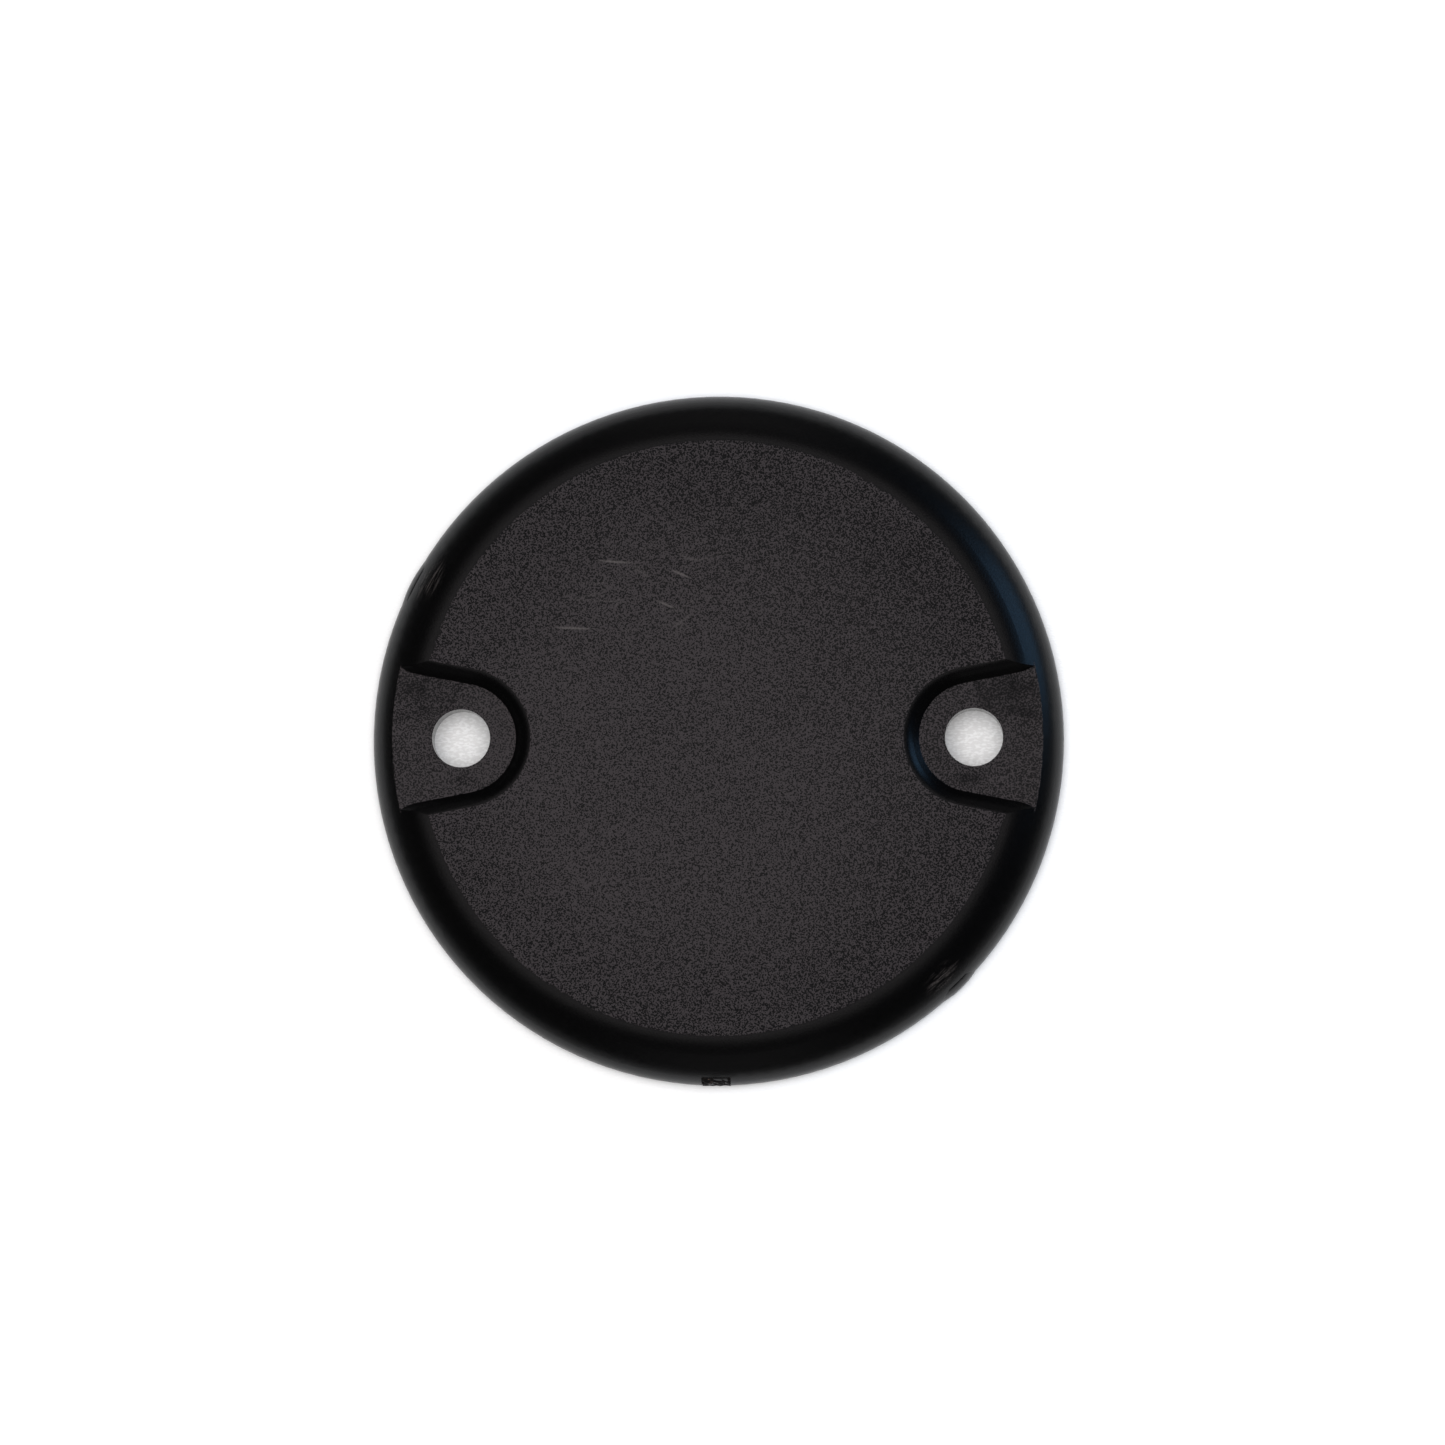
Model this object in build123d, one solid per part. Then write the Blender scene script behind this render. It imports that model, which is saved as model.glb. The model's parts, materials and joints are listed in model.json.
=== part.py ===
from build123d import *

import math
import os

# Screw-on disc tag: a sealed plastic disc, held down by two screws, with a tuned coil and a chip inside.
# Millimetres. Origin at the middle of the back. +Z is the face, and +X runs through the screw holes.

# Outer form
disc_diameter = 50.0
disc_thickness = 3.2
skirt_height = 0.4  # straight foot of the rim
rim_width = 2.11  # elliptical part of the rim, from the outline in
rim_turn = 47.0  # degrees of the ellipse that this part covers
brow_drop = 0.375  # height of the soft edge between the rim and the flat face

# Screw holes and their pockets
screw_margin = 6.5  # from the outline to the middle of each hole
screw_hole_diameter = 4.2
pocket_depth = 0.68
pocket_floor_radius = 3.95  # round inner end of the floor, about the hole
pocket_side_angle = 11.0  # the sides open towards the rim by this much each
pocket_side_reach = 3.2  # the sides are straight as far out from the hole as this
pocket_flare_radius = 3.2  # then they curve away at this radius
pocket_flare_turn = 40.0
pocket_wall_slope = 40.0  # straight foot of the wall, seen in section
pocket_wall_radius = 1.4  # rounded top of the wall, seen in section
pocket_brow_slope = 5.0  # slope that is left where the wall reaches the face

# Shell
face_wall = 1.0
rim_wall = 2.6  # from the outline to the cavity
ledge_width = 1.0  # step that the back cover is glued to
ear_wall = 2.1  # round each screw hole, at the back
gate_width = 2.1
gate_height = 1.8
gate_depth = 0.55
gate_offset = -0.13
gate_stub_gap = 0.2  # beside and above the broken stub
gate_stub_short = 0.05  # the stub ends this far inside the outline

# Back cover
cover_recess = 0.1  # behind the foot of the shell
cover_gap = 0.05
cover_chamfer = 0.15
seam_thickness = 0.05
cover_gate_diameter = 3.0
cover_gate_depth = 0.15
cover_gate_nub_diameter = 0.9

# Layers behind the face wall; the back cover takes up what is left of the thickness
resin_depth = 0.43  # over the board's copper
film_thickness = 0.05
ferrite_thickness = 0.2
board_thickness = 0.4
copper_thickness = 0.035
board_gap = 0.4  # between the board and the shell, all round
board_edge = 0.3  # bare board outside the winding

# Winding: two round ends joined by straight sides
winding_turns = 6
track_width = 0.3
track_pitch = 0.6
track_bend = 1.0
via_diameter = 0.4
via_bore = 0.2
via_pad_diameter = 0.8
return_via_place = 4.0  # left of the chip

# Chip, in the middle of the board
die_side = 1.0
die_thickness = 0.15
die_film = 0.02
die_pad_side = 1.3
bond_pad_place = 1.6
bond_pad_length = 0.6
bond_pad_width = 0.5
bond_inset = 0.15  # from the die's edge to the wire
wire_diameter = 0.04
wire_rise = 0.06
ball_diameter = 0.1
ball_height = 0.02
glob_diameter = 4.6
glob_height = 0.36

# Tuning capacitor, below the chip
capacitor_place = 3.4
capacitor_length = 1.0
capacitor_width = 0.5
capacitor_height = 0.35
terminal_length = 0.25
terminal_thickness = 0.02
capacitor_pad_length = 0.6
solder_reach = 0.22
solder_rise = 0.2

# Worked out from the sizes above
disc_radius = disc_diameter / 2
hole_radius = screw_hole_diameter / 2
hole_place = disc_radius - screw_margin
cavity_radius = disc_radius - rim_wall
rebate_radius = cavity_radius + ledge_width
ear_radius = hole_radius + ear_wall
cavity_ear_radius = ear_radius + ledge_width
board_radius = cavity_radius - board_gap
board_notch = cavity_ear_radius + board_gap
pocket_floor_z = disc_thickness - pocket_depth
ceiling_z = disc_thickness - face_wall
copper_top = ceiling_z - resin_depth
board_top = copper_top - copper_thickness
board_z = board_top - board_thickness
back_copper_z = board_z - copper_thickness
board_film_z = back_copper_z - film_thickness
ferrite_z = board_film_z - ferrite_thickness
cover_top = ferrite_z - film_thickness
ledge_z = cover_top + seam_thickness
die_z = copper_top + die_film
die_top = die_z + die_thickness
winding_radius = hole_place - board_notch - board_edge - track_width / 2
winding_end = board_radius - board_edge - track_width - winding_radius  # centre of each round end
past = 1.0  # how far a cutting shape runs past what it cuts


def slab(plan, low, high):
    """A flat layer of the given plan between two heights."""
    return Pos(0, 0, low) * extrude(plan, high - low)


def both_sides(shape):
    """The shape at +X and the same shape turned half round, at -X."""
    return shape + Rot(0, 0, 180) * shape


def ears(radius):
    """Plan of the two screw ears: round about each hole and running out past the rim."""
    reach = disc_radius + past - hole_place
    ear = Pos(hole_place, 0) * Circle(radius)
    ear += Pos(hole_place + reach / 2, 0) * Rectangle(reach, 2 * radius)
    return both_sides(ear)


def notched_disc(radius, notch):
    """Plan of a disc that is cut away round the two screw ears."""
    return Circle(radius) - ears(notch)


def board_plan():
    return notched_disc(board_radius, board_notch)


def box_between(low, high):
    """A box from its lowest to its highest corner."""
    size = [b - a for a, b in zip(low, high)]
    return Pos(*low) * Box(*size, align=Align.MIN)


def outer_form():
    """The disc's outside: straight foot, elliptical rim, and an arc that leads into the flat face."""
    turn = math.radians(rim_turn)
    x_radius = rim_width / (1 - math.cos(turn))
    z_radius = (disc_thickness - brow_drop - skirt_height) / math.sin(turn)
    centre = (disc_radius - x_radius, skirt_height)
    rim = EllipticalCenterArc(centre, x_radius, z_radius, start_angle=0, arc_size=rim_turn)
    brow_slope = math.atan(z_radius / x_radius / math.tan(turn))
    brow_radius = brow_drop / (1 - math.cos(brow_slope))
    brow = JernArc(rim @ 1, rim % 1, brow_radius, math.degrees(brow_slope))
    foot = Polyline((0, disc_thickness), (0, 0), (disc_radius, 0), (disc_radius, skirt_height))
    face = Line(brow @ 1, (0, disc_thickness))
    return revolve(Plane.XZ * make_face([foot, rim, brow, face]), Axis.Z)


def pocket_foot():
    """Where a pocket's wall meets its floor, about the hole, from one corner at the rim to the other."""
    inner = CenterArc((0, 0), pocket_floor_radius, 90 + pocket_side_angle, 180 - 2 * pocket_side_angle)
    slope = math.radians(pocket_side_angle)
    heading = Vector(math.cos(slope), math.sin(slope))
    run = (pocket_side_reach + pocket_floor_radius * math.sin(slope)) / math.cos(slope)
    corner = inner @ 0 + heading * run
    side = Line(corner, inner @ 0)
    flare = JernArc(corner, heading, pocket_flare_radius, pocket_flare_turn)
    half = [flare.edge().reversed(), side.edge()]
    return half + [inner.edge()] + [edge.mirror(Plane.XZ).reversed() for edge in reversed(half)]


def pocket_wall_profile():
    """Section of the wall, straight from its foot at the origin and then rounded, out (-X) and up (+Y)."""
    slope = math.radians(pocket_wall_slope)
    turn = pocket_wall_slope - pocket_brow_slope
    round_rise = pocket_wall_radius * (math.cos(math.radians(pocket_brow_slope)) - math.cos(slope))
    straight_rise = pocket_depth - round_rise
    heading = (-math.cos(slope), math.sin(slope))
    straight = Line((0, 0), (-straight_rise / math.tan(slope), straight_rise))
    rounded = JernArc(straight @ 1, heading, pocket_wall_radius, turn)
    inside = pocket_floor_radius / 4
    top = pocket_depth + past
    rest = Polyline(rounded @ 1, ((rounded @ 1).X, top), (inside, top), (inside, 0), straight @ 0)
    return make_face([straight, rounded, rest])


def pocket_cutter():
    """All that is taken away over one pocket's floor, about the hole."""
    foot = pocket_foot()
    path = Wire(foot)
    start = path @ 0
    end = path @ 1
    outer = disc_radius - hole_place + past
    closing = Polyline(end, (outer, end.Y), (outer, start.Y), start)
    over_floor = extrude(make_face(foot + closing.edges()), pocket_depth + past)
    heading = path % 0
    inward = Vector(0, 0, 1).cross(heading)
    section = Plane(origin=start, x_dir=inward, z_dir=heading) * pocket_wall_profile()
    return over_floor + sweep(section, path)


def gate_mark():
    """The notch at the rim that the moulding gate leaves, and the broken stub in it."""
    inner = gate_depth - disc_radius
    left = gate_offset - gate_width / 2
    right = gate_offset + gate_width / 2
    notch = box_between((left, -disc_radius - past, 0), (right, inner, gate_height))
    stub = box_between(
        (left + gate_stub_gap, gate_stub_short - disc_radius, 0),
        (right - gate_stub_gap, inner, gate_height - gate_stub_gap),
    )
    return notch - stub


def front_cover():
    """The shell: face, rim, pockets and screw ears in one moulding."""
    shell = outer_form()
    shell -= slab(notched_disc(rebate_radius, ear_radius), 0, ledge_z)
    shell -= slab(notched_disc(cavity_radius, cavity_ear_radius), ledge_z, ceiling_z)
    shell -= both_sides(Pos(hole_place, 0, pocket_floor_z) * pocket_cutter())
    shell -= both_sides(slab(Pos(hole_place, 0) * Circle(hole_radius), 0, disc_thickness))
    return shell - gate_mark()


def back_cover():
    """The plate that closes the shell, with a chamfered back edge and a gate dimple in its middle."""
    plan = notched_disc(rebate_radius - cover_gap, ear_radius + cover_gap)
    plate = slab(plan, cover_recess, cover_top)
    back_edges = plate.faces().sort_by(Axis.Z)[0].edges()
    plate = chamfer(back_edges, cover_chamfer)
    dimple = Circle(cover_gate_diameter / 2) - Circle(cover_gate_nub_diameter / 2)
    return plate - slab(dimple, cover_recess, cover_recess + cover_gate_depth)


def seam_adhesive():
    """The glue between the back cover and the shell's ledge."""
    outside = notched_disc(rebate_radius - cover_gap, ear_radius + cover_gap)
    inside = notched_disc(cavity_radius, cavity_ear_radius)
    return slab(outside - inside, cover_top, ledge_z)


def winding_line(offset, tail_end):
    """One edge of the winding's track, from the outer end inwards, offset to the outside of its middle."""
    edges = []
    for turn in range(winding_turns):
        radius = winding_radius - turn * track_pitch
        inner = radius - track_pitch
        top_start = 90 if turn == 0 else 0
        edges.append(CenterArc((0, winding_end), radius + offset, top_start, 180 - top_start))
        edges.append(Line((-radius - offset, winding_end), (-radius - offset, -winding_end)))
        bottom = (-track_pitch / 2, -winding_end)
        edges.append(CenterArc(bottom, radius - track_pitch / 2 + offset, 180, 180))
        rise = winding_end if turn < winding_turns - 1 else -track_bend
        edges.append(Line((inner + offset, -winding_end), (inner + offset, rise)))
    bend = CenterArc((inner - track_bend, -track_bend), track_bend + offset, 0, 90)
    return edges + [bend, Line(bend @ 1, (tail_end, offset))]


def winding_plan(tail_end):
    """Plan of the winding's copper, from its outer end at the top to a tail that runs in to the middle."""
    half = track_width / 2
    outer = winding_line(half, tail_end)
    inner = winding_line(-half, tail_end)
    caps = [Line(outer[0] @ 0, inner[0] @ 0), Line(outer[-1] @ 1, inner[-1] @ 1)]
    return make_face([line.edge() for line in outer + inner + caps])


def outer_via():
    return (0, winding_end + winding_radius)


def return_via():
    return (-return_via_place, 0)


def chip_land():
    """Copper from the bond pad on the right of the chip down to the capacitor's pad."""
    land = Pos(bond_pad_place, 0) * Rectangle(bond_pad_length, bond_pad_width)
    land += Pos(bond_pad_place, -capacitor_place / 2) * Rectangle(track_width, capacitor_place + track_width)
    pad_middle = (capacitor_length - terminal_length + capacitor_pad_length) / 2
    pad_inner = pad_middle - capacitor_pad_length / 2
    run = bond_pad_place - pad_inner
    land += Pos(bond_pad_place - run / 2, -capacitor_place) * Rectangle(run, track_width)
    return land + Pos(pad_middle, -capacitor_place) * Rectangle(capacitor_pad_length, capacitor_width)


def front_coil():
    """The winding on the front, with the pad of its outer via and the land on the right of the chip."""
    plan = winding_plan(bond_pad_place) + chip_land()
    plan += Pos(*outer_via()) * Circle(via_pad_diameter / 2)
    plan -= Pos(*outer_via()) * Circle(via_diameter / 2)
    return slab(plan, board_top, copper_top)


def back_coil():
    """The winding on the back turns the same way seen from the front, so the two add up."""
    plan = winding_plan(return_via_place).mirror(Plane.YZ)
    for place in (outer_via(), return_via()):
        plan += Pos(*place) * Circle(via_pad_diameter / 2)
        plan -= Pos(*place) * Circle(via_diameter / 2)
    return slab(plan, back_copper_z, board_z)


def return_track():
    """Copper on the front from the return via to the bond pad on the left of the chip."""
    plan = chip_land().mirror(Plane.YZ)
    run = return_via_place - bond_pad_place
    plan += Pos(-bond_pad_place - run / 2, 0) * Rectangle(run, track_width)
    plan += Pos(*return_via()) * Circle(via_pad_diameter / 2)
    plan -= Pos(*return_via()) * Circle(via_diameter / 2)
    return slab(plan, board_top, copper_top)


def board_vias():
    """Plated barrels through the board, one at each end of the back winding."""
    ring = Circle(via_diameter / 2) - Circle(via_bore / 2)
    barrels = [slab(Pos(*place) * ring, back_copper_z, copper_top) for place in (outer_via(), return_via())]
    return Part() + barrels


def circuit_board():
    plan = board_plan()
    for place in (outer_via(), return_via()):
        plan -= Pos(*place) * Circle(via_diameter / 2)
    return slab(plan, board_z, board_top)


def bond_wires():
    """A ball on the die and a low arc of wire down to the bond pad, on each side."""
    start_x = die_side / 2 - bond_inset
    ball = Pos(start_x, 0) * slab(Circle(ball_diameter / 2), die_top, die_top + ball_height)
    low_point = Vector(bond_pad_place, 0, copper_top + wire_diameter / 2)
    high_point = Vector(start_x, 0, die_top + ball_height)
    middle = (low_point + high_point) / 2 + Vector(0, 0, wire_rise)
    path = ThreePointArc(high_point, middle, low_point)
    wire = sweep(Plane(origin=path @ 0, z_dir=path % 0) * Circle(wire_diameter / 2), path)
    return both_sides(ball + wire)


def capacitor():
    """The capacitor's ceramic block and, apart from it, its two tinned ends."""
    skin = terminal_thickness
    middle = Pos(0, -capacitor_place, copper_top + capacitor_height / 2)
    ceramic = middle * Box(capacitor_length - 2 * skin, capacitor_width - 2 * skin, capacitor_height - 2 * skin)
    end = Pos((capacitor_length - terminal_length) / 2, 0) * Box(terminal_length, capacitor_width, capacitor_height)
    ends = middle * both_sides(end)
    return ceramic, ends - ceramic


def solder_joints():
    """A wedge of solder from each end of the capacitor down to its pad."""
    wedge = make_face(Polyline((0, 0), (solder_reach, 0), (0, solder_rise), close=True))
    joint = Pos(0, capacitor_width / 2) * extrude(Plane.XZ * wedge, capacitor_width)
    joint = Pos(capacitor_length / 2, 0) * joint
    return Pos(0, -capacitor_place, copper_top) * both_sides(joint)


def glob_top(inside):
    """The resin drop over the chip, shaped round what it covers."""
    base = glob_diameter / 2
    dome = ThreePointArc((-base, 0), (0, glob_height), (base, 0))
    half = make_face([dome, Line(dome @ 1, dome @ 0)]) & Pos(base, base) * Rectangle(2 * base, 2 * base)
    drop = Pos(0, 0, board_top) * revolve(Plane.XZ * half, Axis.Z)
    return drop - inside


def potting_resin(inside):
    """The resin that fills the shell over and round the board, shaped round the parts on it."""
    filling = slab(notched_disc(cavity_radius, cavity_ear_radius), cover_top, ceiling_z)
    filling -= slab(board_plan(), cover_top, board_top)
    return filling - inside


ceramic, terminals = capacitor()
die_plan = Rectangle(die_side, die_side)
pieces = {
    "front_cover": front_cover(),
    "back_cover": back_cover(),
    "seam_adhesive": seam_adhesive(),
    "ferrite_adhesive": slab(board_plan(), cover_top, ferrite_z),
    "ferrite_sheet": slab(board_plan(), ferrite_z, board_film_z),
    "board_adhesive": slab(board_plan(), board_film_z, back_copper_z),
    "back_coil": back_coil(),
    "circuit_board": circuit_board(),
    "front_coil": front_coil(),
    "return_track": return_track(),
    "board_vias": board_vias(),
    "die_pad": slab(Rectangle(die_pad_side, die_pad_side), board_top, copper_top),
    "die_adhesive": slab(die_plan, copper_top, die_z),
    "tag_chip": slab(die_plan, die_z, die_top),
    "bond_wires": bond_wires(),
    "tuning_capacitor": ceramic,
    "capacitor_terminals": terminals,
    "solder_joints": solder_joints(),
}
under_glob = ["front_coil", "return_track", "die_pad", "die_adhesive", "tag_chip", "bond_wires"]
pieces["glob_top"] = glob_top([pieces[name] for name in under_glob])
on_board = under_glob + ["board_vias", "tuning_capacitor", "capacitor_terminals", "solder_joints", "glob_top"]
pieces["potting_resin"] = potting_resin([pieces[name] for name in on_board])

os.makedirs("parts", exist_ok=True)
for name, piece in pieces.items():
    export_step(piece, f"parts/{name}.step")
    print(name, len(piece.solids()), round(piece.volume, 4))
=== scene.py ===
import json
import math

import bpy
from mathutils import Matrix, Quaternion, Vector


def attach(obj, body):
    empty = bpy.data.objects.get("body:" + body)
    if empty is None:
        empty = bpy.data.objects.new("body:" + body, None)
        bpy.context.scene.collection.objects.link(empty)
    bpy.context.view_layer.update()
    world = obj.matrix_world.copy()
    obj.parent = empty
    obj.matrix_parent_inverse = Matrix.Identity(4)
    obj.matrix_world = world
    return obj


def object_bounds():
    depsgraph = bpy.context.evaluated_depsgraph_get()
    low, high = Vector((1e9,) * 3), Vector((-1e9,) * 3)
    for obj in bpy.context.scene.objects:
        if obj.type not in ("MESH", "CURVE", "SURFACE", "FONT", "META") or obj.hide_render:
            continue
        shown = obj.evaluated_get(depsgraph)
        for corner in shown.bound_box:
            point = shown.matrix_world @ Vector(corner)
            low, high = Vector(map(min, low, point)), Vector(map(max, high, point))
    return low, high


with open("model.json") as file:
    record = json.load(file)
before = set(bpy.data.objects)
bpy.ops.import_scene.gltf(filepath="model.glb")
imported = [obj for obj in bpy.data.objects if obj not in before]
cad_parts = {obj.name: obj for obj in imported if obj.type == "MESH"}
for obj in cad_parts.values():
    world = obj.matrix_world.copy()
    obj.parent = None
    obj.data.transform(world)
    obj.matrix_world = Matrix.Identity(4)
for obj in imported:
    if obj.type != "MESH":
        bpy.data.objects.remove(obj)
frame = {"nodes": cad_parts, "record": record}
cadLow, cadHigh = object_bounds()
cadNodes = frame["nodes"]
mm = 0.001
mounts = {mount["name"]: mount for mount in frame["record"]["mounts"]}
holePlace = mounts["screw_hole_right"]["pos_m"][0]
holeRadius = mounts["screw_hole_right"]["dims"]["r_mm"] * mm
pocketFloorZ = mounts["screw_hole_right"]["dims"]["length_mm"] * mm
discRadius = cadHigh.x
faceZ = cadHigh.z
print("frame loaded:", len(cadNodes), "nodes")


def towards(azimuth, elevation):
    a, e = math.radians(azimuth), math.radians(elevation)
    return Vector((math.cos(e) * math.cos(a), math.cos(e) * math.sin(a), math.sin(e)))


# node helpers: places are in columns and rows, and a plain value given for a socket is set on it

def addNode(tree, kind, column, row, **settings):
    node = tree.nodes.new(kind)
    node.location = (220 * column, -190 * row)
    for name, value in settings.items():
        setattr(node, name, value)
    return node


def plug(tree, source, socket):
    if isinstance(source, bpy.types.NodeSocket):
        tree.links.new(source, socket)
    else:
        socket.default_value = source


def calc(tree, column, row, operation, *values):
    node = addNode(tree, "ShaderNodeMath", column, row, operation=operation)
    for value, socket in zip(values, node.inputs):
        plug(tree, value, socket)
    return node.outputs["Value"]


def ramp(tree, column, row, value, fromLow, fromHigh, toLow=0.0, toHigh=1.0):
    node = addNode(tree, "ShaderNodeMapRange", column, row, interpolation_type="SMOOTHSTEP")
    plug(tree, value, node.inputs["Value"])
    plug(tree, fromLow, node.inputs["From Min"])
    plug(tree, fromHigh, node.inputs["From Max"])
    plug(tree, toLow, node.inputs["To Min"])
    plug(tree, toHigh, node.inputs["To Max"])
    return node.outputs["Result"]


def noiseAt(tree, column, row, coords, scale, detail=2.0, distortion=0.0):
    node = addNode(tree, "ShaderNodeTexNoise", column, row)
    plug(tree, coords, node.inputs["Vector"])
    plug(tree, scale, node.inputs["Scale"])
    node.inputs["Detail"].default_value = detail
    node.inputs["Distortion"].default_value = distortion
    return node.outputs["Fac"]


def cellsAt(tree, column, row, coords, scale, output="Distance", **settings):
    node = addNode(tree, "ShaderNodeTexVoronoi", column, row, **settings)
    plug(tree, coords, node.inputs["Vector"])
    plug(tree, scale, node.inputs["Scale"])
    return node.outputs[output]


def mixColors(tree, column, row, amount, first, second):
    node = addNode(tree, "ShaderNodeMix", column, row, data_type="RGBA")
    plug(tree, amount, node.inputs[0])
    for color, socket in ((first, node.inputs[6]), (second, node.inputs[7])):
        plug(tree, color if isinstance(color, bpy.types.NodeSocket) else (*color, 1), socket)
    return node.outputs[2]


def startGroup(name, inputs, outputs):
    group = bpy.data.node_groups.new(name, "ShaderNodeTree")
    for label, value in inputs.items():
        kind = "NodeSocketVector" if value is None or isinstance(value, tuple) else "NodeSocketFloat"
        socket = group.interface.new_socket(label, in_out="INPUT", socket_type=kind)
        if value is not None:
            socket.default_value = value
    for label in outputs:
        group.interface.new_socket(label, in_out="OUTPUT", socket_type="NodeSocketFloat")
    source = addNode(group, "NodeGroupInput", -6, 0)
    result = addNode(group, "NodeGroupOutput", 3, 0)
    return group, source.outputs, result.inputs


def useGroup(tree, column, row, group, **values):
    node = addNode(tree, "ShaderNodeGroup", column, row, node_tree=group)
    for label, value in values.items():
        plug(tree, value, node.inputs[label])
    return node.outputs


# effects that several materials share

def buildMouldGrain():
    # fine craters, as spark erosion leaves in a mould; height comes out in metres
    group, given, result = startGroup(
        "mouldGrain", {"vector": None, "size": 0.3 * mm, "depth": 0.01 * mm}, ["height", "pits"])
    scale = calc(group, -5, 2, "DIVIDE", 1.0, given["size"])
    grit = noiseAt(group, -4, 0, given["vector"], scale, detail=2.0)
    craters = cellsAt(group, -4, 2, given["vector"], scale)
    mixed = calc(group, -2, 0, "MULTIPLY_ADD", craters, 0.5, grit)
    centred = calc(group, -1, 0, "SUBTRACT", mixed, 0.72)
    group.links.new(calc(group, 1, 0, "MULTIPLY", centred, given["depth"]), result["height"])
    group.links.new(ramp(group, 1, 1, centred, -0.14, 0.14), result["pits"])
    return group


def buildToneDrift():
    # slow change from one end of a range to the other
    group, given, result = startGroup(
        "toneDrift", {"vector": None, "size": 5 * mm, "low": 0.0, "high": 1.0}, ["value"])
    scale = calc(group, -5, 2, "DIVIDE", 1.0, given["size"])
    cloud = noiseAt(group, -4, 0, given["vector"], scale, detail=3.0, distortion=0.4)
    group.links.new(ramp(group, 1, 0, cloud, 0.3, 0.7, given["low"], given["high"]), result["value"])
    return group


def buildHairlines():
    # broken thin curved lines, as light handling leaves
    group, given, result = startGroup(
        "hairlines", {"vector": None, "spread": 3 * mm, "width": 0.01, "cover": 0.5}, ["mask"])
    scale = calc(group, -5, 2, "DIVIDE", 1.0, given["spread"])
    fine = calc(group, -5, 3, "MULTIPLY", scale, 2.3)
    masks = []
    for row, lineScale in enumerate((scale, fine)):
        field = noiseAt(group, -4, row, given["vector"], lineScale, detail=0.6, distortion=0.3)
        offLine = calc(group, -3, row, "ABSOLUTE", calc(group, -3, row + 3, "SUBTRACT", field, 0.5))
        masks.append(ramp(group, -2, row, offLine, given["width"], 0.0))
    lines = calc(group, -1, 0, "MAXIMUM", *masks)
    patches = noiseAt(group, -4, 4, given["vector"], calc(group, -5, 4, "MULTIPLY", scale, 3.1), detail=1.0)
    shown = ramp(group, -1, 2, patches, calc(group, -2, 3, "SUBTRACT", 1.0, given["cover"]), 0.9)
    group.links.new(calc(group, 1, 0, "MULTIPLY", lines, shown), result["mask"])
    return group


def buildSpecks():
    # filler grains and bubbles: a share of the cells holds one round speck each
    group, given, result = startGroup("specks", {"vector": None, "size": 0.2 * mm, "share": 0.2}, ["mask"])
    scale = calc(group, -5, 2, "DIVIDE", 1.0, given["size"])
    spots = addNode(group, "ShaderNodeTexVoronoi", -4, 0)
    group.links.new(given["vector"], spots.inputs["Vector"])
    group.links.new(scale, spots.inputs["Scale"])
    chosen = calc(group, -2, 1, "LESS_THAN", spots.outputs["Color"], given["share"])
    inside = ramp(group, -2, 0, spots.outputs["Distance"], 0.32, 0.2)
    group.links.new(calc(group, 1, 0, "MULTIPLY", inside, chosen), result["mask"])
    return group


def buildSoftSpot():
    # one soft-edged oval, placed, turned and sized
    group, given, result = startGroup(
        "softSpot", {"vector": None, "place": (0, 0, 0), "turn": (0, 0, 0), "reach": (1, 1, 1)}, ["mask"])
    placed = addNode(group, "ShaderNodeMapping", -4, 0, vector_type="TEXTURE")
    sockets = {"vector": "Vector", "place": "Location", "turn": "Rotation", "reach": "Scale"}
    for label, socket in sockets.items():
        group.links.new(given[label], placed.inputs[socket])
    length = addNode(group, "ShaderNodeVectorMath", -2, 0, operation="LENGTH")
    group.links.new(placed.outputs["Vector"], length.inputs[0])
    group.links.new(ramp(group, 1, 0, length.outputs["Value"], 1.0, 0.25), result["mask"])
    return group


def buildDiscPlace():
    # distance from the disc's axis, height over its back, and distances from its two middle lines
    group, given, result = startGroup("discPlace", {"vector": None}, ["radius", "height", "side", "across"])
    parts = addNode(group, "ShaderNodeSeparateXYZ", -4, 0)
    group.links.new(given["vector"], parts.inputs[0])
    squares = [calc(group, -3, row, "POWER", parts.outputs[row], 2.0) for row in (0, 1)]
    group.links.new(calc(group, 1, 0, "SQRT", calc(group, -2, 0, "ADD", *squares)), result["radius"])
    group.links.new(parts.outputs["Z"], result["height"])
    group.links.new(calc(group, 1, 2, "ABSOLUTE", parts.outputs["X"]), result["side"])
    group.links.new(calc(group, 1, 3, "ABSOLUTE", parts.outputs["Y"]), result["across"])
    return group


mouldGrain = buildMouldGrain()
toneDrift = buildToneDrift()
hairlines = buildHairlines()
specks = buildSpecks()
softSpot = buildSoftSpot()
discPlace = buildDiscPlace()
print("shared effects built:", len(bpy.data.node_groups))


def startMaterial(name, **sockets):
    material = bpy.data.materials.new(name)
    material.use_nodes = True
    tree = material.node_tree
    shader = tree.nodes["Principled BSDF"]
    shader.location = (900, 0)
    tree.nodes["Material Output"].location = (1200, 0)
    for label, value in sockets.items():
        shader.inputs[label].default_value = value
    coords = addNode(tree, "ShaderNodeTexCoord", -8, 0).outputs["Object"]
    return material, tree, shader.inputs, coords


def addBump(tree, height, surface):
    bump = addNode(tree, "ShaderNodeBump", 3, 4)
    bump.inputs["Distance"].default_value = 1.0  # heights are already in metres
    tree.links.new(height, bump.inputs["Height"])
    tree.links.new(bump.outputs["Normal"], surface["Normal"])


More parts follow.
